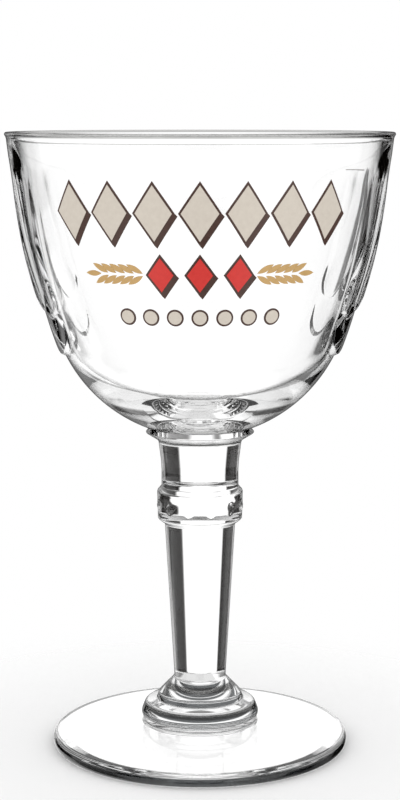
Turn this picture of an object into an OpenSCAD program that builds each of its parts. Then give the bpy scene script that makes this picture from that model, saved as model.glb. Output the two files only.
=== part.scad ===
// Stemmed chalice beer glass: a deep pressed bowl on a merese, a collared stem,
// a stepped base and a round foot, with a fired enamel print on the bowl.
// Origin on the table at the middle of the foot. +Z is up and -Y is the printed front.

/* [Overall] */
// Height from the table to the rim
glass_h = 170; // [166:0.5:176]
// Outside diameter of the rim
rim_d = 105.2; // [103:0.2:107]
// Diameter of the foot
foot_d = 82.4; // [74:0.2:92]

/* [Bowl] */
// Height of the bowl from its weld to the rim
bowl_h = 80.6; // [78:0.1:84]
// Diameter of the bowl's weld face
bowl_seat_d = 27.6; // [25:0.2:29]
// Radius of the round lower bowl
lower_bowl_r = 41; // [39.5:0.1:42]
// Wall thickness at the rim
rim_wall = 2.9; // [2.2:0.1:3.1]
// Wall thickness at the hip
hip_wall = 3.8; // [3:0.1:4]
// Thickness of the bowl's floor above the weld
floor_t = 4.6; // [3.4:0.1:5.6]
// Radius of the rim's fire-polished edges
rim_round = 0.6; // [0.3:0.1:0.8]
// How far the rim's bead stands out from the wall
rim_lip = 0.35; // [0.1:0.05:0.5]

/* [Pressed panels] */
// Distance from the rim down to where the pressed panels fade into the round wall
panel_fade_drop = 12; // [8:0.5:15]
// Rise of the broad front and back panels at their foot
broad_rise = 0.35; // [0.2:0.05:0.6]
// Height of the broad panels' lowest point above the weld
broad_foot_h = 14.1; // [11.6:0.5:16.6]
// Radius of the broad panels' curved foot
broad_foot_r = 70; // [60:1:90]
// Rise of the side tongues at their tips
tongue_rise = 1.2; // [0.8:0.1:1.4]
// Height of the side tongues' lowest point above the weld
tongue_tip_h = 32.1; // [30.1:0.5:34.1]
// Width of a side tongue
tongue_w = 16.4; // [15.8:0.2:17.2]
// Depth of the flute in each side tongue
flute_depth = 0.8; // [0.4:0.1:1]
// Radius of the flutes' round bottom
flute_r = 30; // [26:1:40]
// Height of the lower scallops' lowest point above the weld
scallop_tip_h = 21.2; // [20.2:0.2:22.6]
// Rise of the lower scallops at their tips
scallop_rise = 1.3; // [0.8:0.1:1.5]

/* [Stem] */
// Height of the upper stem, from the collar to the merese
upper_stem_h = 13.7; // [11.5:0.1:16]
// Diameter of the merese's sharp edge
merese_d = 30; // [28.6:0.2:31.6]
// Thickness of the merese
merese_t = 2.7; // [2:0.1:3.4]
// Diameter of the upper stem at its waist
upper_stem_d = 21.2; // [19.6:0.2:22]
// Diameter of the upper stem under the merese
upper_stem_top_d = 24.2; // [23:0.2:25.4]
// Height of the collar, top to bottom
collar_h = 10; // [8.6:0.1:11.4]
// Diameter of the collar's band
collar_d = 23.4; // [23:0.1:24.4]
// Slope height at the collar's two edges
collar_bevel = 1.5; // [0.8:0.1:2]
// Diameter of the lower stem under the collar
lower_stem_top_d = 19.5; // [18:0.1:20.6]
// Diameter of the lower stem at the base
lower_stem_foot_d = 14.3; // [13:0.1:15.2]

/* [Collar lozenges] */
// Number of raised lozenges round the collar
lozenge_count = 12; // [8:1:14]
// Height of a raised lozenge
lozenge_h = 3.6; // [2.4:0.1:4.4]
// Width of a raised lozenge
lozenge_w = 2.6; // [1.8:0.1:3.2]
// Rise of a lozenge above the collar's band
lozenge_rise = 0.35; // [0.2:0.05:0.5]

/* [Base and foot] */
// Height of the top of the base bell
bell_top_z = 19; // [17.8:0.1:20.2]
// Height of the step between the bell and the base ring
bell_foot_z = 12.6; // [12.2:0.1:13]
// Diameter of the base bell
bell_d = 23; // [21.6:0.1:24]
// Radius of the bell's round shoulder
bell_round = 2.4; // [1.8:0.1:2.8]
// Height of the bell's widest ring above the base ring
bell_swell_h = 1; // [0.4:0.1:1.4]
// Diameter of the base ring
base_ring_d = 32.2; // [30.6:0.1:33.6]
// Radius of the base ring's round side
ring_round = 3.4; // [3.3:0.1:4]
// Height at which the base ring sits on the foot
ring_foot_z = 6.3; // [5.8:0.1:6.8]
// Thickness of the foot at its round edge
foot_edge_t = 3.6; // [3:0.1:4.2]
// Diameter of the recess under the foot
recess_d = 56; // [48:0.5:62]
// Depth of the recess under the foot
recess_depth = 1.4; // [0.8:0.1:2]

/* [Enamel print] */
// Thickness of one fired layer of enamel
enamel_t = 0.12; // [0.08:0.01:0.2]
// Distance from the rim down to the middle of the upper frieze
frieze_drop = 19.5; // [18.5:0.5:21]
// Height of a frieze diamond
frieze_h = 14; // [12:0.5:15]
// Width of a frieze diamond
frieze_w = 9.6; // [8.4:0.2:10.2]
// Number of frieze diamonds
frieze_count = 7; // [5:2:7]
// Angle between two frieze diamonds, seen from above
frieze_step = 13.6; // [13:0.1:14.2]
// Width of the brown outline
outline_w = 0.7; // [0.4:0.05:0.9]
// Distance from the rim down to the middle of the barley ears
ear_drop = 35; // [34:0.5:36]
// Distance from the rim down to the row of small discs
disc_drop = 46; // [45:0.5:47]
// Diameter of a small disc
disc_d = 3.4; // [2.6:0.1:3.8]
// Number of small discs
disc_count = 7; // [5:2:9]
// Angle between two small discs, seen from above
disc_step = 8.4; // [7.8:0.1:9]
// Distance from the rim down to the fill line
fill_drop = 11.4; // [9:0.2:11.8]
// Height of the fill line's stroke
fill_line_h = 0.4; // [0.3:0.05:0.8]

/* [Hidden] */
$fn = 180;

// One overrun serves every cut
over = 1;

// Places up the glass. The lower stem takes up whatever height the other pieces leave.
bowl_seat_z = glass_h - bowl_h;
merese_foot_z = bowl_seat_z - merese_t;
collar_top_z = merese_foot_z - upper_stem_h;
collar_foot_z = collar_top_z - collar_h;
panel_fade_z = glass_h - panel_fade_drop;
broad_foot_z = bowl_seat_z + broad_foot_h;
tongue_tip_z = bowl_seat_z + tongue_tip_h;
scallop_tip_z = bowl_seat_z + scallop_tip_h;
frieze_z = glass_h - frieze_drop;
ear_z = glass_h - ear_drop;
disc_z = glass_h - disc_drop;
fill_z = glass_h - fill_drop;

// Lean of the bowl's outline from the upright where the round lower bowl ends
hip_lean = 27;
// Lean of the inside where the knuckle arc meets the floor arc
knuckle_lean = 55;

// Points and radii of the tangent arcs. A point is [radius from the axis, height].
function normal(lean) = [cos(lean), -sin(lean)];
function arc_end(start, r, from_lean, to_lean) = start + r * (normal(to_lean) - normal(from_lean));
function arc_centre(start, r, lean) = start - r * normal(lean);

rim_r = rim_d / 2;
bowl_seat_r = bowl_seat_d / 2;
lower_bowl_z = bowl_seat_z + sqrt(lower_bowl_r * lower_bowl_r - bowl_seat_r * bowl_seat_r);
hip = [0, lower_bowl_z] + lower_bowl_r * normal(hip_lean);
rim = [rim_r - rim_lip, glass_h - rim_round];
inner_hip = hip - hip_wall * normal(hip_lean);
inner_rim = [rim_r - rim_wall, glass_h];

// Two tangent arcs run from the hip to the rim. They straighten past the line between the two.
wall_turn_share = 0.4;
rim_turn_share = 0.7;
straight_lean = atan2(rim[0] - hip[0], rim[1] - hip[1]);
wall_lean = straight_lean - wall_turn_share * (hip_lean - straight_lean);
rim_lean = straight_lean - rim_turn_share * (hip_lean - straight_lean);
low_turn = normal(wall_lean) - normal(hip_lean);
top_turn = normal(rim_lean) - normal(wall_lean);
function low_wall_r(start, goal) = cross(goal - start, top_turn) / cross(low_turn, top_turn);
function top_wall_r(start, goal) = cross(low_turn, goal - start) / cross(low_turn, top_turn);

// The inside runs on below the hip in a knuckle arc and a flatter floor arc
floor_z = bowl_seat_z + floor_t;
knuckle_turn = normal(knuckle_lean) - normal(hip_lean);
floor_drop_share = (1 - sin(knuckle_lean)) / cos(knuckle_lean);
knuckle_r = (inner_hip[1] - inner_hip[0] * floor_drop_share - floor_z)
    / (knuckle_turn[0] * floor_drop_share - knuckle_turn[1]);
knuckle_end = arc_end(inner_hip, knuckle_r, hip_lean, knuckle_lean);
floor_arc_r = knuckle_end[0] / cos(knuckle_lean);

// Heights where two bands meet are kept to a whole step, so that nothing is left between them
seam_step = 0.001;
function seam(z) = round(z / seam_step) * seam_step;

// A band of an outline: the part of a round between two heights, filled in to the axis
module arc_band(centre, r, low_z, high_z) {
    low = seam(low_z);
    high = seam(high_z);
    intersection() {
        union() {
            translate(centre) circle(r, $fn = 1440);
            translate([0, low]) square([max(centre[0], over), high - low]);
        }
        translate([0, low]) square([rim_r + r, high - low]);
    }
}

module wall_outline(start, goal) {
    low_r = low_wall_r(start, goal);
    top_r = top_wall_r(start, goal);
    middle = arc_end(start, low_r, hip_lean, wall_lean);
    arc_band(arc_centre(start, low_r, hip_lean), low_r, start[1], middle[1]);
    arc_band(arc_centre(middle, top_r, wall_lean), top_r, middle[1], goal[1]);
}

module bowl_outline() {
    arc_band([0, lower_bowl_z], lower_bowl_r, bowl_seat_z, hip[1]);
    wall_outline(hip, rim);
}

// The rim ends in a small round bead
module rim_outline() {
    bead = [rim_r - rim_round, glass_h - rim_round];
    translate(bead) circle(rim_round);
    translate([0, bead[1] - rim_round]) square([bead[0], 2 * rim_round]);
}

// The cavity, which opens out round the rim's inner edge
module bowl_inside_outline() {
    arc_band([0, floor_z + floor_arc_r], floor_arc_r, floor_z, knuckle_end[1]);
    arc_band(arc_centre(inner_hip, knuckle_r, hip_lean), knuckle_r, knuckle_end[1], inner_hip[1]);
    wall_outline(inner_hip, inner_rim);
    difference() {
        translate([0, glass_h - rim_round]) square([inner_rim[0] + rim_round, rim_round + over]);
        translate([inner_rim[0] + rim_round, glass_h - rim_round]) circle(rim_round);
    }
}

// The swung outline is the same curve turned out about the height where the panels fade
fade_low_r = low_wall_r(hip, rim);
fade_top_r = top_wall_r(hip, rim);
fade_middle = arc_end(hip, fade_low_r, hip_lean, wall_lean);
fade_centre = arc_centre(fade_middle, fade_top_r, wall_lean);
belly_centre = arc_centre(hip, fade_low_r, hip_lean);
fade_r = fade_centre[0] + sqrt(pow(fade_top_r, 2) - pow(panel_fade_z - fade_centre[1], 2));
module swung_outline(rise, low_z) {
    turn = asin(rise / (panel_fade_z - low_z));
    intersection() {
        translate([fade_r, panel_fade_z]) rotate(turn) translate([-fade_r, -panel_fade_z]) bowl_outline();
        translate([0, low_z]) square([rim_d, panel_fade_z - low_z]);
    }
}

// Compass of the panels: the broad ones face front and back, the side ones fill the rest
broad_turn = 120;
side_turn = 180 - broad_turn;
side_tongues = 3;
tongue_step = side_turn / side_tongues;
side_scallops = 2;
scallop_step = side_turn / side_scallops;
// The scallops' straight face starts under the tongues
scallop_top_z = tongue_tip_z + scallop_rise;
scallop_overrun_share = 0.15;
function bowl_r_at(z) = z < hip[1]
    ? sqrt(pow(lower_bowl_r, 2) - pow(lower_bowl_z - z, 2))
    : belly_centre[0] + sqrt(pow(fade_low_r, 2) - pow(belly_centre[1] - z, 2));

module broad_panel() {
    intersection() {
        rotate([0, 0, -90 - broad_turn / 2]) rotate_extrude(angle = broad_turn)
            swung_outline(broad_rise, broad_foot_z);
        translate([0, 0, broad_foot_z + broad_foot_r])
            rotate([90, 0, 0]) cylinder(r = broad_foot_r, h = rim_d);
    }
}

// A flute is a round groove laid along the slope of its tongue
module flute() {
    low_z = tongue_tip_z + tongue_w / 2;
    low_r = bowl_r_at(low_z) + tongue_rise * (panel_fade_z - low_z) / (panel_fade_z - tongue_tip_z);
    slope = atan2(fade_r - low_r, panel_fade_z - low_z);
    translate([low_r + flute_r - flute_depth, 0, low_z]) rotate([0, slope, 0])
        translate([0, 0, -flute_r]) cylinder(r = flute_r, h = flute_r + panel_fade_z);
}

// A tongue and a scallop are pushed through the swung outline along their own radius
module tongue() {
    tip_r = tongue_w / 2;
    difference() {
        intersection() {
            rotate([0, 0, -side_turn / 2]) rotate_extrude(angle = side_turn)
                swung_outline(tongue_rise, tongue_tip_z);
            rotate([0, 90, 0]) linear_extrude(rim_d) {
                translate([-tongue_tip_z - tip_r, 0]) circle(tip_r);
                translate([-panel_fade_z, -tip_r]) square([panel_fade_z - tongue_tip_z - tip_r, tongue_w]);
            }
        }
        flute();
    }
}

module scallop() {
    tip = [bowl_r_at(scallop_tip_z) + scallop_rise, scallop_tip_z];
    meets_wall = [bowl_r_at(scallop_top_z), scallop_top_z];
    // The face runs on past the line where it meets the wall, so that it ends inside the glass
    inside_wall = meets_wall + (meets_wall - tip) * scallop_overrun_share;
    tip_w = 2 * tip[0] * sin(scallop_step / 2) + scallop_rise;
    intersection() {
        rotate([0, 0, -side_turn / 2]) rotate_extrude(angle = side_turn) polygon([
            [0, scallop_tip_z], tip, inside_wall, [0, inside_wall[1]]
        ]);
        translate([0, 0, scallop_tip_z + tip_w / 2]) rotate([0, 90, 0]) cylinder(d = tip_w, h = rim_d);
    }
}

// Angles of evenly spaced copies, centred on zero
function row(count, step) = [for (k = [0 : count - 1]) (k - (count - 1) / 2) * step];

module side_panels() {
    union() for (k = row(side_tongues, tongue_step)) rotate([0, 0, k]) tongue();
    union() for (k = row(side_scallops, scallop_step)) rotate([0, 0, k]) scallop();
}

module bowl() {
    color([0.86, 0.9, 0.89, 0.5]) difference() {
        union() {
            rotate([0, 0, 90]) rotate_extrude() {
                bowl_outline();
                rim_outline();
            }
            union() side_panels();
            broad_panel();
            rotate([0, 0, 180]) {
                union() side_panels();
                broad_panel();
            }
        }
        rotate([0, 0, 90]) rotate_extrude() bowl_inside_outline();
    }
}

// Stem pieces. Each one stands on the next, face on face.
merese_edge_share = 0.54;
module merese() {
    edge_z = merese_foot_z + merese_t * merese_edge_share;
    color([0.84, 0.88, 0.87, 0.6]) rotate_extrude() polygon([
        [0, merese_foot_z], [upper_stem_top_d / 2, merese_foot_z],
        [merese_d / 2, edge_z], [bowl_seat_r, bowl_seat_z], [0, bowl_seat_z]
    ]);
}

stem_flare_share = 0.6;
module upper_stem() {
    waist_r = upper_stem_d / 2;
    flare = upper_stem_top_d / 2 - waist_r;
    flare_h = upper_stem_h * stem_flare_share;
    flare_r = (flare * flare + flare_h * flare_h) / (2 * flare);
    color([0.84, 0.88, 0.87, 0.6]) rotate_extrude() difference() {
        translate([0, collar_top_z]) square([waist_r + flare, upper_stem_h]);
        translate([waist_r, collar_top_z - over]) square([flare + over, upper_stem_h - flare_h + over]);
        translate([waist_r + flare_r, merese_foot_z - flare_h]) circle(flare_r, $fn = 720);
    }
}

module stem_collar() {
    band_r = collar_d / 2;
    middle_z = collar_top_z - collar_h / 2;
    lozenge_turn = 360 / lozenge_count;
    color([0.84, 0.88, 0.87, 0.6]) {
        rotate_extrude() polygon([
            [0, collar_foot_z], [lower_stem_top_d / 2, collar_foot_z],
            [band_r, collar_foot_z + collar_bevel], [band_r, collar_top_z - collar_bevel],
            [upper_stem_d / 2, collar_top_z], [0, collar_top_z]
        ]);
        for (k = [0 : lozenge_count - 1])
            rotate([0, 0, k * lozenge_turn + lozenge_turn / 2]) translate([0, 0, middle_z])
                rotate([0, 90, 0]) linear_extrude(band_r + lozenge_rise) polygon([
                    [lozenge_h / 2, 0], [0, lozenge_w / 2], [-lozenge_h / 2, 0], [0, -lozenge_w / 2]
                ]);
    }
}

module lower_stem() {
    color([0.84, 0.88, 0.87, 0.6]) translate([0, 0, bell_top_z])
        cylinder(d1 = lower_stem_foot_d, d2 = lower_stem_top_d, h = collar_foot_z - bell_top_z);
}

// The bell is a cone that runs tangent into a round shoulder
module base_bell() {
    shoulder = [bell_d / 2 - bell_round, bell_foot_z + bell_swell_h];
    neck = [lower_stem_foot_d / 2, bell_top_z];
    way = neck - shoulder;
    touch_turn = atan2(way[1], way[0]) - acos(bell_round / norm(way));
    touch = shoulder + bell_round * [cos(touch_turn), sin(touch_turn)];
    color([0.84, 0.88, 0.87, 0.6]) rotate_extrude() intersection() {
        union() {
            translate(shoulder) circle(bell_round);
            polygon([
                [0, bell_foot_z], [shoulder[0], bell_foot_z], shoulder, touch, neck, [0, bell_top_z]
            ]);
        }
        translate([0, bell_foot_z]) square([bell_d, bell_top_z - bell_foot_z]);
    }
}

module base_ring() {
    ring_r = base_ring_d / 2;
    ring_h = bell_foot_z - ring_foot_z;
    color([0.84, 0.88, 0.87, 0.6]) rotate_extrude() intersection() {
        union() {
            translate([ring_r - ring_round, bell_foot_z - ring_round]) circle(ring_round);
            translate([0, ring_foot_z]) square([ring_r - ring_round, ring_h]);
        }
        translate([0, ring_foot_z]) square([ring_r, ring_h]);
    }
}

// The foot slopes down from the base ring to a fully rounded edge
module foot() {
    edge_r = foot_edge_t / 2;
    rest_r = foot_d / 2 - edge_r;
    recess_r = recess_d / 2;
    dome_r = (recess_r * recess_r + recess_depth * recess_depth) / (2 * recess_depth);
    color([0.84, 0.88, 0.87, 0.6]) difference() {
        rotate_extrude() {
            translate([rest_r, edge_r]) circle(edge_r);
            polygon([
                [0, 0], [rest_r, 0], [rest_r, foot_edge_t],
                [base_ring_d / 2 - over, ring_foot_z], [0, ring_foot_z]
            ]);
        }
        rotate_extrude() intersection() {
            translate([0, recess_depth - dome_r]) circle(dome_r, $fn = 1440);
            translate([0, -over]) square([recess_r + over, over + recess_depth]);
        }
    }
}

// Enamel. Each motif is a patch of the panel's own outline moved out, cut along the radius.
// A patch of this turn has room for the widest motif.
patch_turn = 20;
module enamel(level, turn, z) {
    rotate([0, 0, turn]) intersection() {
        rotate([0, 0, -90 - patch_turn / 2]) rotate_extrude(angle = patch_turn) difference() {
            translate([(level + 1) * enamel_t, 0]) swung_outline(broad_rise, broad_foot_z);
            translate([level * enamel_t, 0]) swung_outline(broad_rise, broad_foot_z);
        }
        translate([0, 0, z]) rotate([90, 0, 0]) linear_extrude(rim_d) children();
    }
}

module diamond(w, h) {
    polygon([[w / 2, 0], [0, h / 2], [-w / 2, 0], [0, -h / 2]]);
}

// A diamond with its outline, and with its shadow down and to the right
outline_tip_share = 1.5;
module shadowed(w, h) {
    side = w / 2 + outline_w;
    tip = h / 2 + outline_tip_share * outline_w;
    polygon([
        [-side, 0], [0, tip], [side, 0], [side + outline_w, -outline_w],
        [outline_w, -tip - outline_w], [0, -tip]
    ]);
}

frieze_turns = row(frieze_count, frieze_step);
disc_turns = row(disc_count, disc_step);

// Three red diamonds stand in the middle, and a barley ear lies on each side of them
red_count = 3;
red_width_share = 0.68;
red_height_share = 0.62;
red_step_share = 0.9;
red_w = frieze_w * red_width_share;
red_h = frieze_h * red_height_share;
red_turns = row(red_count, frieze_step * red_step_share);

// The ear's grains are leaf shapes in pairs along a stalk
grain_pairs = 5;
grain_lean = 28;
grain_length_share = 0.5;
grain_width_share = 0.3;
grain_step_share = 0.22;
ear_gap_share = 0.62;
grain_l = frieze_w * grain_length_share;
grain_w = grain_l * grain_width_share;
grain_step = frieze_step * grain_step_share;
ear_root = red_turns[red_count - 1] + frieze_step * ear_gap_share;
module grain() {
    r = (grain_l * grain_l + grain_w * grain_w) / (4 * grain_w);
    intersection() {
        translate([0, r - grain_w / 2]) circle(r);
        translate([0, grain_w / 2 - r]) circle(r);
    }
}

disc_outline_share = 0.7;
module print_brown() {
    color([0.29, 0.2, 0.17]) {
        for (turn = frieze_turns) enamel(0, turn, frieze_z) shadowed(frieze_w, frieze_h);
        for (turn = red_turns) enamel(0, turn, ear_z) shadowed(red_w, red_h);
        for (turn = disc_turns)
            enamel(0, turn, disc_z) circle(disc_d / 2 + disc_outline_share * outline_w);
    }
}

module print_cream() {
    color([0.84, 0.8, 0.75]) {
        for (turn = frieze_turns) enamel(1, turn, frieze_z) diamond(frieze_w, frieze_h);
        for (turn = disc_turns) enamel(1, turn, disc_z) circle(d = disc_d);
    }
}

module print_red() {
    color([0.85, 0.2, 0.16]) for (turn = red_turns) enamel(1, turn, ear_z) diamond(red_w, red_h);
}

module print_gold() {
    color([0.79, 0.64, 0.42]) for (side = [-1, 1]) {
        for (k = [0 : grain_pairs - 1], up = [-1, 1])
            enamel(0, side * (ear_root + k * grain_step), ear_z + up * grain_w)
                rotate(side * up * grain_lean) grain();
        enamel(0, side * (ear_root + grain_pairs * grain_step), ear_z) grain();
    }
}

// The fill line lies on the right back wall
fill_line_from = 17;
fill_line_turn = 14;
module fill_mark() {
    color([0.45, 0.36, 0.32]) rotate([0, 0, fill_line_from]) rotate_extrude(angle = fill_line_turn)
        intersection() {
            difference() {
                translate([enamel_t, 0]) bowl_outline();
                bowl_outline();
            }
            translate([0, fill_z]) square([rim_d, fill_line_h]);
        }
}

bowl();
merese();
upper_stem();
stem_collar();
lower_stem();
base_bell();
base_ring();
foot();
print_brown();
print_cream();
print_red();
print_gold();
fill_mark();
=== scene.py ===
# Chalice beer glass: one body of clear pressed glass with a fired enamel print on its front.
import math
import bmesh
import bpy
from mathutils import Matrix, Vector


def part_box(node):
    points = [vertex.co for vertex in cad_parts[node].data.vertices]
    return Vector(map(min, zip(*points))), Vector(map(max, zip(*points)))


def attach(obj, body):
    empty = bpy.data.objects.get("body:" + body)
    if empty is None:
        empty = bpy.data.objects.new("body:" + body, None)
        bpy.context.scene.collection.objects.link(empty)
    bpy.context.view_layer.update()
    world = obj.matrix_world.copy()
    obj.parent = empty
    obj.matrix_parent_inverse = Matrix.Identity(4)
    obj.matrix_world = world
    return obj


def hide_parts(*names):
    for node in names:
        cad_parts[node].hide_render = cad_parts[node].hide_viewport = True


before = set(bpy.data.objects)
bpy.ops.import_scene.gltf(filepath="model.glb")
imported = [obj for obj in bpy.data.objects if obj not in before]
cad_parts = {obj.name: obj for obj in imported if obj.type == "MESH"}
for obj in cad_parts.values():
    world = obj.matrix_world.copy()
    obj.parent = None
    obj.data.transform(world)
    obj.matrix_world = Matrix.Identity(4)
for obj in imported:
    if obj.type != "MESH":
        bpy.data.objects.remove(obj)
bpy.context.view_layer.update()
scene = bpy.context.scene
scene.view_settings.view_transform = 'Standard'
# Light is passed on many times inside thick glass
scene.cycles.glossy_bounces = 12
mm = 0.001
print("frame loaded")


# Small helpers

# A colour written as sRGB hex, turned to linear light
def linear(hexColour):
    shares = [int(hexColour[i:i + 2], 16) / 255 for i in (0, 2, 4)]
    return [s / 12.92 if s <= 0.04045 else ((s + 0.055) / 1.055) ** 2.4 for s in shares] + [1]


# Adds a node with its settings; each input is a value or a link, by name or by number
def addNode(tree, kind, inputs=None, **settings):
    node = tree.nodes.new(kind)
    for name, value in settings.items():
        setattr(node, name, value)
    for name, value in (inputs or {}).items():
        if isinstance(value, bpy.types.NodeSocket):
            tree.links.new(value, node.inputs[name])
        else:
            node.inputs[name].default_value = value
    return node


def newMaterial(name):
    material = bpy.data.materials.new(name)
    material.use_nodes = True
    material.node_tree.nodes.clear()
    return material, material.node_tree


def smoothStep(x, low, high):
    t = min(max((x - low) / (high - low), 0), 1)
    return t * t * (3 - 2 * t)


def evenRow(count, step):
    return [(k - (count - 1) / 2) * step for k in range(count)]


# The bowl's outline, in millimetres. A lean is an angle from the upright.

top = {node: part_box(node)[1].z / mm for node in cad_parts}
bottom = {node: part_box(node)[0].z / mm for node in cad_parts}
reach = {node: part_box(node)[1].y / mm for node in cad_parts}

bowl = {
    'seatRadius': 13.8,
    'lowerRadius': 41,
    'hipLean': 27,
    'kneeLean': 55,
    'wallTurnShare': 0.4,
    'rimTurnShare': 0.7,
    'rimWall': 2.9,
    'hipWall': 3.8,
    'floor': 4.6,
    'rimRound': 0.6,
    'rimLip': 0.35,
    'lipFrom': -50,  # degrees above level where the rim's round starts
}


def outward(lean):
    return math.cos(math.radians(lean)), -math.sin(math.radians(lean))


# Two tangent arcs from the hip to the rim, each as (centre, radius, lean, lean)
def twoArcs(start, goal):
    a, b, c = outward(bowl['hipLean']), outward(wallLean), outward(rimLean)
    low, high = (b[0] - a[0], b[1] - a[1]), (c[0] - b[0], c[1] - b[1])
    span = goal[0] - start[0], goal[1] - start[1]
    area = low[0] * high[1] - low[1] * high[0]
    lowR = (span[0] * high[1] - span[1] * high[0]) / area
    highR = (low[0] * span[1] - low[1] * span[0]) / area
    lowC = start[0] - lowR * a[0], start[1] - lowR * a[1]
    highC = lowC[0] + (lowR - highR) * b[0], lowC[1] + (lowR - highR) * b[1]
    return [(lowC, lowR, bowl['hipLean'], wallLean), (highC, highR, wallLean, rimLean)]


def onArc(arc, share):
    centre, radius, fromLean, toLean = arc
    way = outward(fromLean + (toLean - fromLean) * share)
    return centre[0] + radius * way[0], centre[1] + radius * way[1]


rimR, rimZ, seatZ = reach['bowl'], top['bowl'], bottom['bowl']
lowerC = 0, seatZ + math.sqrt(bowl['lowerRadius'] ** 2 - bowl['seatRadius'] ** 2)
seatLean = math.degrees(math.acos(bowl['seatRadius'] / bowl['lowerRadius']))
lowerArc = lowerC, bowl['lowerRadius'], seatLean, bowl['hipLean']
hip = onArc(lowerArc, 1)
wallTop = rimR - bowl['rimLip'], rimZ - bowl['rimRound']
straightLean = math.degrees(math.atan2(wallTop[0] - hip[0], wallTop[1] - hip[1]))
wallLean = straightLean - bowl['wallTurnShare'] * (bowl['hipLean'] - straightLean)
rimLean = straightLean - bowl['rimTurnShare'] * (bowl['hipLean'] - straightLean)
outerArcs = [lowerArc] + twoArcs(hip, wallTop)

hipOut = outward(bowl['hipLean'])
innerHip = hip[0] - bowl['hipWall'] * hipOut[0], hip[1] - bowl['hipWall'] * hipOut[1]
kneeOut = outward(bowl['kneeLean'])
drop = (1 + kneeOut[1]) / kneeOut[0]
kneeR = (innerHip[1] - innerHip[0] * drop - seatZ - bowl['floor']) / (
    (kneeOut[0] - hipOut[0]) * drop - (kneeOut[1] - hipOut[1]))
kneeC = innerHip[0] - kneeR * hipOut[0], innerHip[1] - kneeR * hipOut[1]
kneeArc = kneeC, kneeR, bowl['kneeLean'], bowl['hipLean']
floorR = onArc(kneeArc, 0)[0] / kneeOut[0]
floorArc = (0, seatZ + bowl['floor'] + floorR), floorR, 90, bowl['kneeLean']
innerArcs = [floorArc, kneeArc] + twoArcs(innerHip, (rimR - bowl['rimWall'], rimZ))


def wallRadius(z):
    for centre, radius, _, toLean in outerArcs:
        if z <= centre[1] + radius * outward(toLean)[1]:
            break
    return centre[0] + math.sqrt(max(radius ** 2 - (z - centre[1]) ** 2, 0))


# Pressed panels: broad ones front and back, fluted tongues over scallops at the sides.
# Lengths are in millimetres and turns in degrees.

panels = {
    'fadeZ': 158,
    'softness': 0.7,
    'broadSoftness': 5,
    'hollow': 0.55,
    'hollowFromZ': 108,
    'hollowFullZ': 124,
    'hollowFadeZ': 161,
    'hollowEndZ': 169,
    'sideHalfTurn': 30,
    'sideOverlap': 3,
    'rimHalfTurn': 18,
    'archFromZ': 146,
    'broadHalfTurn': 60,
    'broadRise': 0.35,
    'broadFootZ': 103.5,
    'broadFootRadius': 70,
    'tongues': 3,
    'tongueRise': 1.2,
    'tongueSideSoftness': 7,
    'tongueSideFromZ': 124,
    'tongueSideFullZ': 136,
    'tongueTipZ': 121.5,
    'tongueWidth': 16.4,
    'fluteDepth': 0.8,
    'fluteRadius': 30,
    'fluteEndDrop': 6,
    'fluteFullDrop': 4,
    'scallops': 2,
    'scallopTipZ': 110.6,
    'scallopRise': 1.3,
}
sideTurn = 180 - 2 * panels['broadHalfTurn']
tongueTurns = evenRow(panels['tongues'], sideTurn / panels['tongues'])
scallopTurns = evenRow(panels['scallops'], sideTurn / panels['scallops'])
scallopWide = 2 * (wallRadius(panels['scallopTipZ']) + panels['scallopRise']) * math.sin(
    math.radians(sideTurn / panels['scallops'] / 2)) + panels['scallopRise']


def fade(z, lowZ):
    return max((panels['fadeZ'] - z) / (panels['fadeZ'] - lowZ), 0)


# 1 well inside an edge and 0 outside it; distance is negative inside
def inside(distance, softness=panels['softness']):
    return smoothStep(-distance, -softness / 2, softness / 2)


# The front and back are pressed in a little, between edges that lean in to an arch at the rim
def hollowRise(fromSide, z):
    arch = max(z - panels['archFromZ'], 0) / (rimZ - panels['archFromZ'])
    halfTurn = panels['sideHalfTurn'] + (panels['rimHalfTurn'] - panels['sideHalfTurn']) * arch ** 2
    deep = smoothStep(z, panels['hollowFromZ'], panels['hollowFullZ'])
    deep *= 1 - smoothStep(z, panels['hollowFadeZ'], panels['hollowEndZ'])
    return -panels['hollow'] * deep * min(abs(fromSide) / halfTurn, 1) ** 2


def broadRise(turn, z, radius):
    across = radius * math.sin(math.radians(turn))
    footR = panels['broadFootRadius']
    footZ = panels['broadFootZ'] + footR - math.sqrt(max(footR ** 2 - across ** 2, 0))
    side = radius * math.radians(abs(turn) - panels['broadHalfTurn'])
    soft = panels['broadSoftness']
    return panels['broadRise'] * fade(z, footZ) * inside(footZ - z, soft) * inside(side, soft)


# A soft side starts at the same edge and rises more slowly
def tongueRise(turn, z, radius, softSide):
    across = radius * math.sin(math.radians(turn))
    tip = panels['tongueWidth'] / 2
    tipC = panels['tongueTipZ'] + tip
    edge = (math.hypot(across, z - tipC) if z < tipC else abs(across)) - tip
    groove = panels['fluteDepth'] - panels['fluteRadius'] + math.sqrt(
        max(panels['fluteRadius'] ** 2 - across ** 2, 0))
    high = panels['tongueRise'] * fade(z, panels['tongueTipZ'])
    runOut = smoothStep(z, rimZ - panels['fluteEndDrop'], panels['fadeZ'] - panels['fluteFullDrop'])
    more = softSide * panels['tongueSideSoftness'] * smoothStep(
        z, panels['tongueSideFromZ'], panels['tongueSideFullZ'])
    return (high - max(groove, 0) * runOut) * inside(edge + more / 2, panels['softness'] + more)


def scallopRise(turn, z, radius):
    across = radius * math.sin(math.radians(turn))
    edge = math.hypot(across, z - panels['scallopTipZ'] - scallopWide / 2) - scallopWide / 2
    topZ = panels['tongueTipZ'] + panels['scallopRise']
    return panels['scallopRise'] * max((topZ - z) / (topZ - panels['scallopTipZ']), 0) * inside(edge)


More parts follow.
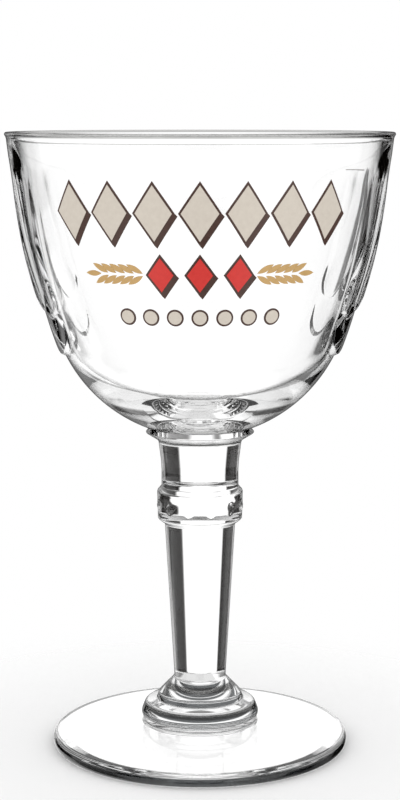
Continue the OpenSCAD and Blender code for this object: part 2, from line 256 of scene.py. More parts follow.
# How far the pressed panels stand out at an azimuth in degrees; -90 is the front
def panelRise(azimuth, z):
    radius = wallRadius(z)
    fromSide = (azimuth + 90) % 180 - 90
    fromFront = azimuth % 180 - 90
    hollow = hollowRise(fromSide, z)
    if abs(fromSide) > sideTurn / 2 + panels['sideOverlap']:
        return broadRise(fromFront, z, radius) + hollow
    tongue = [tongueRise(fromSide - t, z, radius, (fromSide - t) * t > 0) for t in tongueTurns]
    scallop = [scallopRise(fromSide - t, z, radius) for t in scallopTurns]
    groove = min(tongue)
    proud = max(tongue + scallop + [broadRise(fromFront, z, radius), 0])
    return (proud if proud > 0 else groove) + hollow


# The whole glass as rings from under the foot, up the outside and down the inside.
# Lengths are in millimetres.

stem = {
    'recessRadius': 36,
    'recessDepth': 2.4,
    'recessCurve': 1.4,
    'footEdge': 3.6,
    'footUnderFlat': 0.02,
    'footOverFlat': 0.05,
    'rootRadius': 7.15,
    'collarRadius': 11.75,
    'waistRadius': 10.6,
    'lozenges': 12,
    'lozengeHeight': 3.6,
    'lozengeWidth': 2.6,
    'lozengeRise': 0.35,
    'lozengeFromShare': -0.15,
    'lozengeFullShare': 0.25,
}
# Bends of the outline: how far out and up from the edge of their piece, and their own radius
bends = {
    'ringRoot': (-0.6, 0, 0.7),
    'ringSide': (0.35, 2.6, 2.2),
    'ringTop': (-0.9, -0.5, 1.6),
    'bellRoot': (0.5, 0, 0.5),
    'bellSide': (0.1, 1.7, 1.8),
    'rodRoot': (0, 0, 1.2),
    'rodTop': (0, -0.4, 0.5),
    'collarLow': (-0.1, 1, 0.9),
    'collarHigh': (0.1, -1.2, 1.1),
    'collarTop': (0.05, 0.15, 0.4),
    'waist': (0, 6, 20),
    'underMerese': (-0.6, -0.7, 1.6),
    'mereseEdge': (0, 1.45, 0.22),
}
# How finely the mesh is cut, in millimetres, degrees and counts
meshing = {
    'plainColumns': 150,
    'sideStep': 0.5,
    'broadStep': 2.5,
    'leastStep': 1e-6,
    'tallRow': 1.1,
    'fineRow': 0.45,
    'fineFromZ': 107,
    'fineToZ': 126,
    'stemRow': 1.5,
    'collarRow': 0.45,
    'innerRow': 1.6,
    'recessRows': 36,
    'outerLipSteps': 10,
    'innerLipSteps': 7,
    'lipGap': 0.1,
    'fineOverlap': 2.9,
    'arcStep': 7,
    'guard': 0.12,
    'sharpAngle': 32,
}


# Points round a centre from one angle to another, in degrees
def roundStretch(centre, radius, fromDeg, toDeg, steps):
    turns = [math.radians(fromDeg + (toDeg - fromDeg) * k / steps) for k in range(steps + 1)]
    return [(centre[0] + radius * math.cos(t), centre[1] + radius * math.sin(t)) for t in turns]


# A line through corners (r, z, rounding), where each corner is bent to its own radius
def roundedLine(corners):
    points = [corners[0][:2]]
    for before, corner, after in zip(corners, corners[1:], corners[2:]):
        fromTurn = math.atan2(corner[1] - before[1], corner[0] - before[0])
        toTurn = math.atan2(after[1] - corner[1], after[0] - corner[0])
        bendTurn = (toTurn - fromTurn + math.pi) % (2 * math.pi) - math.pi
        side = math.copysign(1, bendTurn)
        short = corner[2] * math.tan(abs(bendTurn) / 2)
        start = corner[0] - short * math.cos(fromTurn), corner[1] - short * math.sin(fromTurn)
        centre = (start[0] - side * corner[2] * math.sin(fromTurn),
                  start[1] + side * corner[2] * math.cos(fromTurn))
        first = math.degrees(fromTurn) - side * 90
        steps = max(round(abs(math.degrees(bendTurn)) / meshing['arcStep']), 1)
        points += roundStretch(centre, corner[2], first, first + math.degrees(bendTurn), steps)
    return points + [corners[-1][:2]]


# More points on the long stretches; one close to each end keeps the shading there true
def filledIn(points):
    filled = [points[0]]
    for a, b in zip(points, points[1:]):
        length = math.hypot(b[0] - a[0], b[1] - a[1])
        onCollar = bottom['stem_collar'] < a[1] < top['stem_collar']
        room = meshing['collarRow'] if onCollar else meshing['stemRow']
        shares = [1]
        if length > room:
            steps = math.ceil(length / room)
            guard = meshing['guard'] / length
            shares = [guard] + [k / steps for k in range(1, steps)] + [1 - guard, 1]
        filled += [(a[0] + (b[0] - a[0]) * t, a[1] + (b[1] - a[1]) * t) for t in shares]
    return filled


def bendAt(name, radius, z):
    out, up, ownRadius = bends[name]
    return radius + out, z + up, ownRadius


# The domed hollow under the foot, from its middle outward
def recessOutline():
    rows = meshing['recessRows']
    return [(stem['recessRadius'] * k / rows, stem['recessDepth'] * (1 - (k / rows) ** stem['recessCurve']))
            for k in range(1, rows)]


# From under the foot to the bowl's seat
def lowerOutline():
    footR, edge = reach['foot'], stem['footEdge']
    ringR, ringZ = reach['base_ring'], bottom['base_ring']
    bellR, bellZ = reach['base_bell'], bottom['base_bell']
    collarR, collarZ, collarTop = stem['collarRadius'], bottom['stem_collar'], top['stem_collar']
    return recessOutline() + filledIn(roundedLine([
        (stem['recessRadius'], 0, 0),
        (footR, 0, edge / 2 - stem['footUnderFlat']),
        (footR, edge, edge / 2 - stem['footOverFlat']),
        bendAt('ringRoot', ringR, ringZ),
        bendAt('ringSide', ringR, ringZ),
        bendAt('ringTop', ringR, bellZ),
        bendAt('bellRoot', bellR, bellZ),
        bendAt('bellSide', bellR, bellZ),
        bendAt('rodRoot', stem['rootRadius'], top['base_bell']),
        bendAt('rodTop', reach['lower_stem'], collarZ),
        bendAt('collarLow', collarR, collarZ),
        bendAt('collarHigh', collarR, collarTop),
        bendAt('collarTop', stem['waistRadius'], collarTop),
        bendAt('waist', stem['waistRadius'], collarTop),
        bendAt('underMerese', reach['upper_stem'], bottom['merese']),
        bendAt('mereseEdge', reach['merese'], bottom['merese']),
        (bowl['seatRadius'], seatZ, 0)]))


# Points up an arc; spacing gives the room to the next one at a height
def arcPoints(arc, spacing):
    length = arc[1] * math.radians(abs(arc[2] - arc[3]))
    points, along = [], 0
    while along < length:
        points.append(onArc(arc, along / length))
        along += spacing(points[-1][1])
    return points


def outerSpacing(z):
    return meshing['fineRow'] if meshing['fineFromZ'] < z < meshing['fineToZ'] else meshing['tallRow']


def outerOutline():
    points = [p for arc in outerArcs for p in arcPoints(arc, outerSpacing)]
    return [p for p in points[1:] if p[1] < rimZ - 2 * bowl['rimRound'] - meshing['lipGap']]


def rimOutline():
    r = bowl['rimRound']
    points = roundStretch((rimR - r, rimZ - r), r, bowl['lipFrom'], 90, meshing['outerLipSteps'])
    innerR = rimR - bowl['rimWall'] + r
    return points + roundStretch((innerR, rimZ - r), r, 90, 180, meshing['innerLipSteps'])


def innerOutline():
    points = [p for arc in innerArcs for p in arcPoints(arc, lambda z: meshing['innerRow'])]
    points = [p for p in points[1:] if p[1] < rimZ - bowl['rimRound'] - meshing['lipGap']]
    return points[::-1]


plainColumns = [360 * k / meshing['plainColumns'] for k in range(meshing['plainColumns'])]


# Columns stand close together at the sides and further apart between them
def panelColumns():
    turns, turn = [], 0
    while turn < 360 - meshing['leastStep']:
        turns.append(turn)
        fromSide = abs((turn + 90) % 180 - 90)
        onSide = fromSide < sideTurn / 2 + meshing['fineOverlap']
        turn += meshing['sideStep'] if onSide else meshing['broadStep']
    return turns


# How far the raised lozenges stand out from the collar
def lozengeRise(azimuth, z, radius):
    middle = (bottom['stem_collar'] + top['stem_collar']) / 2
    step = 360 / stem['lozenges']
    turn = azimuth % step - step / 2
    across = abs(radius * math.radians(turn)) / (stem['lozengeWidth'] / 2)
    along = abs(z - middle) / (stem['lozengeHeight'] / 2)
    full = smoothStep(1 - across - along, stem['lozengeFromShare'], stem['lozengeFullShare'])
    return stem['lozengeRise'] * full


# Faces between two rings, also where they have unlike columns
def stitch(mesh, low, high):
    if len(low) == len(high):
        for k in range(len(low)):
            n = (k + 1) % len(low)
            mesh.faces.new((low[k][1], low[n][1], high[n][1], high[k][1]))
        return
    i = j = 0
    while i < len(low) or j < len(high):
        nextLow = low[i + 1][0] if i + 1 < len(low) else 360 + (i >= len(low))
        nextHigh = high[j + 1][0] if j + 1 < len(high) else 360 + (j >= len(high))
        a, b = low[i % len(low)][1], high[j % len(high)][1]
        if i < len(low) and (nextLow <= nextHigh or j >= len(high)):
            i += 1
            mesh.faces.new((a, low[i % len(low)][1], b))
        else:
            j += 1
            mesh.faces.new((a, high[j % len(high)][1], b))


# All the rings, joined and closed under the foot and inside the bowl
def buildGlass():
    mesh = bmesh.new()
    rings = []

    def addRing(radius, z, turns, rise=None):
        ring = []
        for turn in turns:
            r = (radius + (rise(turn, z, radius) if rise else 0)) * mm
            a = math.radians(turn)
            ring.append((turn, mesh.verts.new((r * math.cos(a), r * math.sin(a), z * mm))))
        rings.append(ring)

    for r, z in lowerOutline():
        onCollar = bottom['stem_collar'] < z < top['stem_collar']
        addRing(r, z, plainColumns, lozengeRise if onCollar else None)
    fine = panelColumns()
    for r, z in outerOutline():
        addRing(r, z, fine, lambda turn, z, radius: panelRise(turn, z))
    for r, z in rimOutline() + innerOutline():
        addRing(r, z, plainColumns)

    for low, high in zip(rings, rings[1:]):
        stitch(mesh, low, high)
    underneath = mesh.verts.new((0, 0, stem['recessDepth'] * mm))
    floorMiddle = mesh.verts.new((0, 0, (seatZ + bowl['floor']) * mm))
    first, last = rings[0], rings[-1]
    for k in range(len(first)):
        mesh.faces.new((underneath, first[(k + 1) % len(first)][1], first[k][1]))
    for k in range(len(last)):
        mesh.faces.new((floorMiddle, last[k][1], last[(k + 1) % len(last)][1]))
    return mesh


def finishedObject(name, mesh, material):
    data = bpy.data.meshes.new(name)
    mesh.to_mesh(data)
    mesh.free()
    made = bpy.data.objects.new(name, data)
    scene.collection.objects.link(made)
    data.materials.append(material)
    data.shade_smooth()
    return made


# Lengths are in millimetres. Where the surface turns away is given from 0, seen straight on, to 1,
# seen along the surface.
glassLook = {
    'refraction': 1.52,
    'body': 'FFFFFF',
    'waveWidth': 14.3,
    'waveDetail': 1,
    'waveStrength': 0.08,
    'waveHeight': 0.1,
    'shadow': 'F4F6F5',
    # Painted shade where the surface turns away: from and full facing, its greatest share, its colour, and
    # the heights where it starts above the foot
    'grazedFrom': 0.66,
    'grazedFull': 0.92,
    'grazeShadeShare': 0.9,
    'grazeShadeColour': '151413',
    'grazedFromZ': 6,
    'grazedFullZ': 9,
}
# Painted shade: rounded edges look dark, as light that enters there is caught in the thick glass, and that
# shade is painted into the glass's colour here: inner radius, lowest and highest z and their soft edge in
# millimetres, and the painted shade colour
paintedShadeRings = {
    'foot': (reach['foot'] - 1.6, 0.3, 2.8, 0.4, '141617'),
    'bell': (8.6, 16.1, 17.9, 0.4, '30302F'),
    'ring': (13.6, 10.5, 11.9, 0.35, '30302F'),
    'rim': (48.5, 169.3, 170.6, 0.3, '8C8C8A'),
}


# The glass's own white, with painted shade in the rounded edges
def paintedShadeTint(tree, place):
    axes = addNode(tree, 'ShaderNodeSeparateXYZ', {0: place})
    flat = addNode(tree, 'ShaderNodeCombineXYZ', {'X': axes.outputs['X'], 'Y': axes.outputs['Y']})
    fromAxis = addNode(tree, 'ShaderNodeVectorMath', {0: flat.outputs[0]}, operation='LENGTH')
    radius, z = fromAxis.outputs['Value'], axes.outputs['Z']
    tint = linear(glassLook['body'])
    for innerRadius, lowest, highest, soft, colour in paintedShadeRings.values():
        ring = 1
        for measured, zeroAt, oneAt in (
                (radius, innerRadius - soft, innerRadius),
                (z, lowest - soft / 2, lowest + soft / 2),
                (z, highest + soft / 2, highest - soft / 2)):
            within = addNode(tree, 'ShaderNodeMapRange', {
                'Value': measured, 'From Min': zeroAt * mm, 'From Max': oneAt * mm})
            ring = addNode(tree, 'ShaderNodeMath', {
                0: ring, 1: within.outputs[0]}, operation='MULTIPLY').outputs[0]
        # Painted shade mixed into the glass colour in this ring
        tint = addNode(tree, 'ShaderNodeMix', {
            'Factor': ring, 'A': tint, 'B': linear(colour)}, data_type='RGBA').outputs[2]
    return tint


# Painted shade, standing in for the dark edges of glass: a dark colour mixed in where the surface turns
# away, but not on the foot's flat top
def grazeShadeShare(tree, place):
    facing = addNode(tree, 'ShaderNodeLayerWeight', {'Blend': 0.5})
    turnedAway = addNode(tree, 'ShaderNodeMapRange', {
        'Value': facing.outputs['Facing'], 'From Min': glassLook['grazedFrom'],
        'From Max': glassLook['grazedFull'], 'To Max': glassLook['grazeShadeShare']})
    axes = addNode(tree, 'ShaderNodeSeparateXYZ', {0: place})
    aboveFoot = addNode(tree, 'ShaderNodeMapRange', {
        'Value': axes.outputs['Z'], 'From Min': glassLook['grazedFromZ'] * mm,
        'From Max': glassLook['grazedFullZ'] * mm})
    share = addNode(tree, 'ShaderNodeMath', {
        0: turnedAway.outputs[0], 1: aboveFoot.outputs[0]}, operation='MULTIPLY')
    return share.outputs[0]


# Soda-lime glass, pressed in a mould and fire-polished: clear, faintly wavy, no colour of its own; painted
# shade darkens its rounded edges and where it turns away
def pressedGlass():
    material, tree = newMaterial("pressed_soda_lime_glass")
    place = addNode(tree, 'ShaderNodeTexCoord').outputs['Object']
    waves = addNode(tree, 'ShaderNodeTexNoise', {
        'Vector': place, 'Scale': 1 / (glassLook['waveWidth'] * mm), 'Detail': glassLook['waveDetail']})
    bump = addNode(tree, 'ShaderNodeBump', {
        'Height': waves.outputs['Fac'], 'Strength': glassLook['waveStrength'],
        'Distance': glassLook['waveHeight'] * mm})
    # The glass's colour carries the painted shade of the rounded edges
    clear = addNode(tree, 'ShaderNodeBsdfPrincipled', {
        'Base Color': paintedShadeTint(tree, place), 'Roughness': 0.0, 'IOR': glassLook['refraction'],
        'Transmission Weight': 1.0, 'Normal': bump.outputs['Normal']})
    # Painted shade: a dark diffuse stands in for the dark edges of glass
    paintedGrazeShade = addNode(tree, 'ShaderNodeBsdfDiffuse', {'Color': linear(glassLook['grazeShadeColour'])})
    edged = addNode(tree, 'ShaderNodeMixShader', {
        'Fac': grazeShadeShare(tree, place), 1: clear.outputs[0], 2: paintedGrazeShade.outputs[0]})
    shadow = addNode(tree, 'ShaderNodeBsdfTransparent', {'Color': linear(glassLook['shadow'])})
    path = addNode(tree, 'ShaderNodeLightPath')
    both = addNode(tree, 'ShaderNodeMixShader', {
        'Fac': path.outputs['Is Shadow Ray'], 1: edged.outputs[0], 2: shadow.outputs[0]})
    addNode(tree, 'ShaderNodeOutputMaterial', {'Surface': both.outputs[0]})
    return material


glassBody = finishedObject("glass_body", buildGlass(), pressedGlass())
glassBody.data.set_sharp_from_angle(angle=math.radians(meshing['sharpAngle']))
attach(glassBody, "root")
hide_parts("bowl", "merese", "upper_stem", "stem_collar",
            "lower_stem", "base_bell", "base_ring", "foot")
print("glass body made,", len(glassBody.data.polygons), "faces")


# Enamel print. A motif is drawn flat, repeated by nodes in a row, then wrapped on the wall.
# Lengths are in millimetres and turns in degrees, and each colour has a light and a dark tone.

enamel = {
    'thick': 0.12,
    'lift': 0.02,
    'outline': 0.7,
    'tipRimShare': 1.5,
    'discRimShare': 1.4,
    'friezeZ': 150.5,
    'friezeHeight': 14,
    'friezeWidth': 9.6,
    'friezeCount': 7,
    'friezeTurn': 13.6,
    'earZ': 135,
    'redCount': 3,
    'redWidthShare': 0.68,
    'redHeightShare': 0.62,
    'redTurnShare': 0.9,
    'earRootShare': 0.62,
    'grainPairs': 5,
    'grainLongShare': 0.5,
    'grainSlimShare': 0.15,
    'grainTurnShare': 0.22,
    'grainLean': 28,
    'grainSteps': 10,
    'discZ': 124,
    'discWidth': 3.4,
    'discCount': 7,
    'discTurn': 8.4,
    'discSteps': 40,
    'finest': 0.9,
    'cuts': 5,
    'sharpAngle': 40,
    'brown': ('553A30', '3F2922'),
    'cream': ('DCD3C6', 'CDC3B6'),
    'red': ('DF362E', 'CB2C26'),
    'gold': ('D2AC70', 'BE985E'),
}
# The fired surface has mottles, in millimetres, that are glossy where dark and duller where light
firedLook = {
    'mottleWidth': 1.11,
    'mottleDetail': 3,
    'mottleStrength': 0.25,
    'mottleHeight': 0.05,
    'darkRoughness': 0.28,
    'lightRoughness': 0.42,
}


def diamond(wide, tall):
    return [(wide / 2, 0), (0, tall / 2), (-wide / 2, 0), (0, -tall / 2)]


def shadowedDiamond(wide, tall):
    rim = enamel['outline']
    side, tip = wide / 2 + rim, tall / 2 + enamel['tipRimShare'] * rim
    return [(-side, 0), (0, -tip), (rim, -tip - rim), (side + rim, -rim), (side, 0), (0, tip)]


def disc(wide):
    turns = [2 * math.pi * k / enamel['discSteps'] for k in range(enamel['discSteps'])]
    return [(wide / 2 * math.cos(t), wide / 2 * math.sin(t)) for t in turns]


# A leaf shape between two tips, turned by its lean
def grain(long, wide, lean):
    shares = [k / enamel['grainSteps'] * 2 - 1 for k in range(enamel['grainSteps'])]
    edge = [(long / 2 * t, -wide / 2 * (1 - t * t)) for t in shares]
    edge += [(-x, -y) for x, y in edge]
    c, s = math.cos(math.radians(lean)), math.sin(math.radians(lean))
    return [(x * c - y * s, x * s + y * c) for x, y in edge]


# Repeats the flat motif that it is given in a row along X
def rowTree():
    tree = bpy.data.node_groups.new("motif_row", 'GeometryNodeTree')
    for name, kind, way in (("Motif", 'NodeSocketGeometry', 'INPUT'), ("Count", 'NodeSocketInt', 'INPUT'),
                            ("Step", 'NodeSocketFloat', 'INPUT'), ("Enamel", 'NodeSocketMaterial', 'INPUT'),
                            ("Row", 'NodeSocketGeometry', 'OUTPUT')):
        tree.interface.new_socket(name, in_out=way, socket_type=kind)
    given = addNode(tree, 'NodeGroupInput')
    gaps = addNode(tree, 'ShaderNodeMath', {0: given.outputs["Count"], 1: 1}, operation='SUBTRACT')
    span = addNode(tree, 'ShaderNodeMath', {
        0: gaps.outputs[0], 1: given.outputs["Step"]}, operation='MULTIPLY')
    start = addNode(tree, 'ShaderNodeMath', {0: span.outputs[0], 1: -0.5}, operation='MULTIPLY')
    first = addNode(tree, 'ShaderNodeCombineXYZ', {'X': start.outputs[0]})
    step = addNode(tree, 'ShaderNodeCombineXYZ', {'X': given.outputs["Step"]})
    places = addNode(tree, 'GeometryNodeMeshLine', {
        'Count': given.outputs["Count"], 'Start Location': first.outputs[0], 'Offset': step.outputs[0]})
    copies = addNode(tree, 'GeometryNodeInstanceOnPoints', {
        'Points': places.outputs[0], 'Instance': given.outputs["Motif"]})
    real = addNode(tree, 'GeometryNodeRealizeInstances', {'Geometry': copies.outputs[0]})
    painted = addNode(tree, 'GeometryNodeSetMaterial', {
        'Geometry': real.outputs[0], 'Material': given.outputs["Enamel"]})
    addNode(tree, 'NodeGroupOutput', {"Row": painted.outputs[0]})
    return tree


motifRow = rowTree()


# The row as a plain mesh; X and the step are millimetres round the bowl at the row's height
def flatRow(outline, count, step, material):
    mesh = bmesh.new()
    mesh.faces.new([mesh.verts.new((x, y, 0)) for x, y in outline])
    bmesh.ops.recalc_face_normals(mesh, faces=mesh.faces)
    bmesh.ops.triangulate(mesh, faces=mesh.faces)
    for _ in range(enamel['cuts']):
        long = [e for e in mesh.edges if e.calc_length() > enamel['finest']]
        if long:
            bmesh.ops.subdivide_edges(mesh, edges=long, cuts=1)
            bmesh.ops.triangulate(mesh, faces=mesh.faces)
    holder = finishedObject("flat_motif", mesh, material)
    modifier = holder.modifiers.new("row", 'NODES')
    modifier.node_group = motifRow
    sockets = {item.name: item.identifier for item in motifRow.interface.items_tree}
    modifier[sockets["Count"]] = count
    modifier[sockets["Step"]] = step
    modifier[sockets["Enamel"]] = material
    row = bpy.data.meshes.new_from_object(holder.evaluated_get(bpy.context.evaluated_depsgraph_get()))
    bpy.data.objects.remove(holder)
    return row


# A point on the front wall; turn is in degrees to the right of the middle
def onWall(turn, z, lift):
    azimuth = turn - 90
    r = (wallRadius(z) + panelRise(azimuth, z) + lift) * mm
    a = math.radians(azimuth)
    return r * math.cos(a), r * math.sin(a), z * mm


# Gives a printed sheet its thickness, outward from the wall
def thicken(sheet):
    thick = sheet.modifiers.new("thick", 'SOLIDIFY')
    thick.thickness = enamel['thick'] * mm
    thick.offset = 1
    solid = bpy.data.meshes.new_from_object(sheet.evaluated_get(bpy.context.evaluated_depsgraph_get()))
    sheet.modifiers.clear()
    sheet.data = solid


# Ceramic enamel, screen-printed and fired: opaque, softly glossy, slightly mottled
def firedEnamel(name, tones):
    light, dark = tones
    material, tree = newMaterial(name)
    place = addNode(tree, 'ShaderNodeTexCoord')
    mottle = addNode(tree, 'ShaderNodeTexNoise', {
        'Vector': place.outputs['Object'], 'Scale': 1 / (firedLook['mottleWidth'] * mm),
        'Detail': firedLook['mottleDetail']})
    tone = addNode(tree, 'ShaderNodeMix', {
        'Factor': mottle.outputs['Fac'], 'A': linear(dark), 'B': linear(light)}, data_type='RGBA')
    shine = addNode(tree, 'ShaderNodeMapRange', {
        'Value': mottle.outputs['Fac'], 'To Min': firedLook['darkRoughness'],
        'To Max': firedLook['lightRoughness']})
    bump = addNode(tree, 'ShaderNodeBump', {
        'Height': mottle.outputs['Fac'], 'Strength': firedLook['mottleStrength'],
        'Distance': firedLook['mottleHeight'] * mm})
    paint = addNode(tree, 'ShaderNodeBsdfPrincipled', {
        'Base Color': tone.outputs[2], 'Roughness': shine.outputs[0], 'Normal': bump.outputs['Normal']})
    addNode(tree, 'ShaderNodeOutputMaterial', {'Surface': paint.outputs[0]})
    return material


# Each row is an outline, a count, a step in degrees, a middle turn, a height and a layer
def enamelPiece(colour, rows):
    material = firedEnamel("fired_enamel_" + colour, enamel[colour])
    joined = bmesh.new()
    for outline, count, stepTurn, middleTurn, z, layer in rows:
        perDegree = math.radians(wallRadius(z))
        row = flatRow(outline, count, stepTurn * perDegree, material)
        for vertex in row.vertices:
            x, y, _ = vertex.co
            lift = enamel['lift'] + layer * (enamel['thick'] + enamel['lift'])
            vertex.co = onWall(middleTurn + x / perDegree, z + y, lift)
        joined.from_mesh(row)
        bpy.data.meshes.remove(row)
    bmesh.ops.recalc_face_normals(joined, faces=joined.faces)
    for face in joined.faces:
        middle = face.calc_center_median()
        if face.normal.x * middle.x + face.normal.y * middle.y < 0:
            face.normal_flip()
    piece = finishedObject("enamel_" + colour, joined, material)
    thicken(piece)
    piece.data.set_sharp_from_angle(angle=math.radians(enamel['sharpAngle']))
    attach(piece, "root")
    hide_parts("print_" + colour)


# An ear on either side of the red diamonds: pairs of grains and one at the tip
def earRows(redTurn):
    grainStep = enamel['friezeTurn'] * enamel['grainTurnShare']
    root = redTurn + enamel['friezeTurn'] * enamel['earRootShare']
    long = enamel['friezeWidth'] * enamel['grainLongShare']
    slim = enamel['friezeWidth'] * enamel['grainSlimShare']
    pairs, z = enamel['grainPairs'], enamel['earZ']
    middle = root + (pairs - 1) / 2 * grainStep
    ears = []
    for side in (-1, 1):
        for up in (-1, 1):
            leaning = grain(long, slim, side * up * enamel['grainLean'])
            ears.append((leaning, pairs, grainStep, side * middle, z + up * slim, 0))
        ears.append((grain(long, slim, 0), 1, grainStep, side * (root + pairs * grainStep), z, 0))
    return ears


def buildPrint():
    frieze = enamel['friezeCount'], enamel['friezeTurn'], 0, enamel['friezeZ']
    wide, tall = enamel['friezeWidth'], enamel['friezeHeight']
    redWide, redTall = wide * enamel['redWidthShare'], tall * enamel['redHeightShare']
    redTurn = enamel['friezeTurn'] * enamel['redTurnShare']
    reds = enamel['redCount'], redTurn, 0, enamel['earZ']
    discs = enamel['discCount'], enamel['discTurn'], 0, enamel['discZ']
    darkDisc = enamel['discWidth'] + enamel['discRimShare'] * enamel['outline']
    enamelPiece("brown", [
        (shadowedDiamond(wide, tall), *frieze, 0),
        (shadowedDiamond(redWide, redTall), *reds, 0),
        (disc(darkDisc), *discs, 0)])
    enamelPiece("cream", [
        (diamond(wide, tall), *frieze, 1),
        (disc(enamel['discWidth']), *discs, 1)])
    enamelPiece("red", [(diamond(redWide, redTall), *reds, 1)])
    enamelPiece("gold", earRows(redTurn))


buildPrint()
print("print made")


fillMark = {
    'steps': 24,
    'tones': ('A3968C', '8F8278'),
}


# The fill line is a fine mark on the outside of the right back wall
def buildFillMark():
    low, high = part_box("fill_mark")
    startTurn = math.degrees(math.atan2(low.y, high.x))
    endTurn = math.degrees(math.atan2(high.y, low.x))
    steps = fillMark['steps']
    mesh = bmesh.new()
    rows = []
    for z in (low.z / mm, high.z / mm):
        ring = []
        for k in range(steps + 1):
            a = math.radians(startTurn + (endTurn - startTurn) * k / steps)
            r = (wallRadius(z) + panelRise(math.degrees(a), z) + enamel['lift']) * mm
            ring.append(mesh.verts.new((r * math.cos(a), r * math.sin(a), z * mm)))
        rows.append(ring)
    for k in range(steps):
        mesh.faces.new((rows[0][k], rows[0][k + 1], rows[1][k + 1], rows[1][k]))
    material = firedEnamel("fired_enamel_mark", fillMark['tones'])
    mark = finishedObject("fill_line", mesh, material)
    thicken(mark)
    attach(mark, "root")
    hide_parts("fill_mark")


buildFillMark()
print("fill line made")


# Studio: a white cove, dark cards beside the glass and windows, as glass is lit to show its edges.
# Lengths are in millimetres, and the paper fades out between two distances from the glass's axis.

studio = {
    'card': '14110F',
    'plain': 'FFFFFF',
    'backlight': 1.12,
    'surroundings': 0.8,
    'paper': 'FEFEFE',
    'floorRadius': 500,
    'floorSides': 96,
    'fadeFrom': 45,
    'fadeTo': 130,
}
# What stands round the glass, each over the ones before it, in degrees: turn from +Y towards +X,
# half width and its soft edge, lowest and highest elevation and their soft edge, share of white
screens = {
    'ceiling': (0, 190, 5, 40, 95, 10, 0.9),
    'dimRing': (0, 190, 5, -24, 3, 3, 0.3),
    'groundBelow': (0, 190, 5, -95, -50, 8, 0.68),
    'dimGroundRound': (0, 190, 5, -50, -24, 4, 0.22),
    'cardBehindLeft': (-46.5, 17, 1.5, -26, 4, 3, 0),
    'cardBehindRight': (39.5, 17, 1.5, -26, 4, 3, 0),
    'cardFrontLeft': (-131, 15, 2, -13, 12, 2, 0),
    'groundFrontLeft': (-135, 24, 3, -60, -14, 1.5, 0.9),
    'windowRight': (90, 24, 3, -9, 20, 2, 0.85),
    'windowFront': (180, 26, 3, -9, 20, 2, 0.9),
    'cardUnderRight': (94, 14, 2, -34, -13, 1.5, 0),
    'cardUnderFront': (176, 14, 2, -34, -13, 1.5, 0),
    'backlightLow': (-4.5, 26, 1.5, -24, 6, 3, 1),
    'backlightHigh': (-4.5, 25, 5, 3, 36, 4, 1),
    'groundBehind': (-2, 12, 4, -50, -22, 4, 1),
    'windowLeft': (-90, 23, 2, -9, 20, 2, 1),
    'windowFrontRight': (135, 26, 2, -45, 15, 4, 1),
    'groundBehindLeft': (-45, 22, 3, -60, -17, 1, 1),
}


# How much white is seen in each direction, past all the screens
def whiteShare(tree):
    way = addNode(tree, 'ShaderNodeTexCoord')
    parts = addNode(tree, 'ShaderNodeSeparateXYZ', {0: way.outputs['Generated']})
    turn = addNode(tree, 'ShaderNodeMath', {
        0: parts.outputs['X'], 1: parts.outputs['Y']}, operation='ARCTAN2')
    rise = addNode(tree, 'ShaderNodeMath', {0: parts.outputs['Z']}, operation='ARCSINE')
    white = studio['surroundings']
    for centre, half, edge, lowest, highest, riseEdge, level in screens.values():
        away = addNode(tree, 'ShaderNodeMath', {
            0: turn.outputs[0], 1: -math.radians(centre)}, operation='ADD')
        wrapped = addNode(tree, 'ShaderNodeMath', {
            0: away.outputs[0], 1: math.pi, 2: -math.pi}, operation='WRAP')
        aside = addNode(tree, 'ShaderNodeMath', {0: wrapped.outputs[0]}, operation='ABSOLUTE')
        covered = 1
        for measured, zeroAt, oneAt in (
                (aside, half + edge, half - edge),
                (rise, lowest - riseEdge, lowest + riseEdge),
                (rise, highest + riseEdge, highest - riseEdge)):
            within = addNode(tree, 'ShaderNodeMapRange', {
                'Value': measured.outputs[0], 'From Min': math.radians(zeroAt),
                'From Max': math.radians(oneAt)}, interpolation_type='SMOOTHSTEP')
            covered = addNode(tree, 'ShaderNodeMath', {
                0: covered, 1: within.outputs[0]}, operation='MULTIPLY').outputs[0]
        white = addNode(tree, 'ShaderNodeMix', {
            'Factor': covered, 'A': white, 'B': level}, data_type='FLOAT').outputs[0]
    return white


# Glass sees the screens; the camera and the soft light on the paper and the print are plain white
def buildWorld():
    world = bpy.data.worlds.new("studio_world")
    scene.world = world
    # Only the rays themselves find this light, so the Light Path tests below hold for all of it
    world.cycles.sampling_method = 'NONE'
    world.use_nodes = True
    tree = world.node_tree
    tree.nodes.clear()
    backlight = (studio['backlight'],) * 3 + (1,)
    seen = addNode(tree, 'ShaderNodeMix', {
        'Factor': whiteShare(tree), 'A': linear(studio['card']), 'B': backlight}, data_type='RGBA')
    path = addNode(tree, 'ShaderNodeLightPath')
    plain = addNode(tree, 'ShaderNodeMath', {
        0: path.outputs['Is Diffuse Ray'], 1: path.outputs['Is Camera Ray']}, operation='MAXIMUM')
    shown = addNode(tree, 'ShaderNodeMix', {
        'Factor': plain.outputs[0], 'A': seen.outputs[2], 'B': linear(studio['plain'])}, data_type='RGBA')
    background = addNode(tree, 'ShaderNodeBackground', {'Color': shown.outputs[2], 'Strength': 1})
    addNode(tree, 'ShaderNodeOutputWorld', {'Surface': background.outputs[0]})


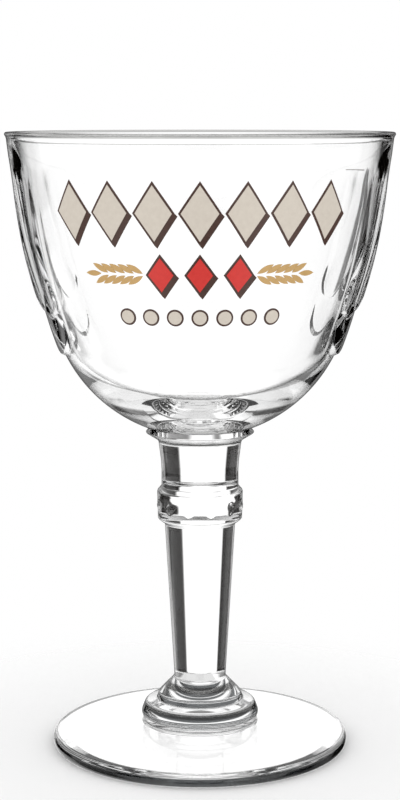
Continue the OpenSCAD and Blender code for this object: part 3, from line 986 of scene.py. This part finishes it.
# White paper near the glass that ends softly; glass sees through it to the screens
def buildFloor():
    mesh = bmesh.new()
    bmesh.ops.create_circle(
        mesh, cap_ends=True, segments=studio['floorSides'], radius=studio['floorRadius'] * mm)
    material, tree = newMaterial("white_sweep_paper")
    place = addNode(tree, 'ShaderNodeTexCoord')
    far = addNode(tree, 'ShaderNodeVectorMath', {0: place.outputs['Object']}, operation='LENGTH')
    ended = addNode(tree, 'ShaderNodeMapRange', {
        'Value': far.outputs['Value'], 'From Min': studio['fadeFrom'] * mm,
        'From Max': studio['fadeTo'] * mm}, interpolation_type='SMOOTHSTEP')
    path = addNode(tree, 'ShaderNodeLightPath')
    passing = addNode(tree, 'ShaderNodeMath', {
        0: path.outputs['Is Transmission Ray'], 1: path.outputs['Is Glossy Ray']}, operation='MAXIMUM')
    unseen = addNode(tree, 'ShaderNodeMath', {
        0: ended.outputs[0], 1: passing.outputs[0]}, operation='MAXIMUM')
    paper = addNode(tree, 'ShaderNodeBsdfDiffuse', {'Color': linear(studio['paper'])})
    through = addNode(tree, 'ShaderNodeBsdfTransparent')
    both = addNode(tree, 'ShaderNodeMixShader', {
        'Fac': unseen.outputs[0], 1: paper.outputs[0], 2: through.outputs[0]})
    addNode(tree, 'ShaderNodeOutputMaterial', {'Surface': both.outputs[0]})
    finishedObject("floor", mesh, material)


# The camera stands where the photograph's did: just above the rim, looking down a little.
# Lengths are in millimetres and the pitch in degrees.
camera = {
    'back': 533.1,
    'height': 175.9,
    'pitch': 8.43,
    'lens': 88.2,
    'sensor': 36,
    'nearest': 10,
}


def buildCamera():
    data = bpy.data.cameras.new("camera")
    data.lens = camera['lens']
    data.sensor_width = camera['sensor']
    made = bpy.data.objects.new("camera", data)
    scene.collection.objects.link(made)
    made.location = 0, -camera['back'] * mm, camera['height'] * mm
    made.rotation_euler = math.radians(90 - camera['pitch']), 0, 0
    data.clip_start = camera['nearest'] * mm
    scene.camera = made


buildWorld()
buildFloor()
buildCamera()
print("studio made")
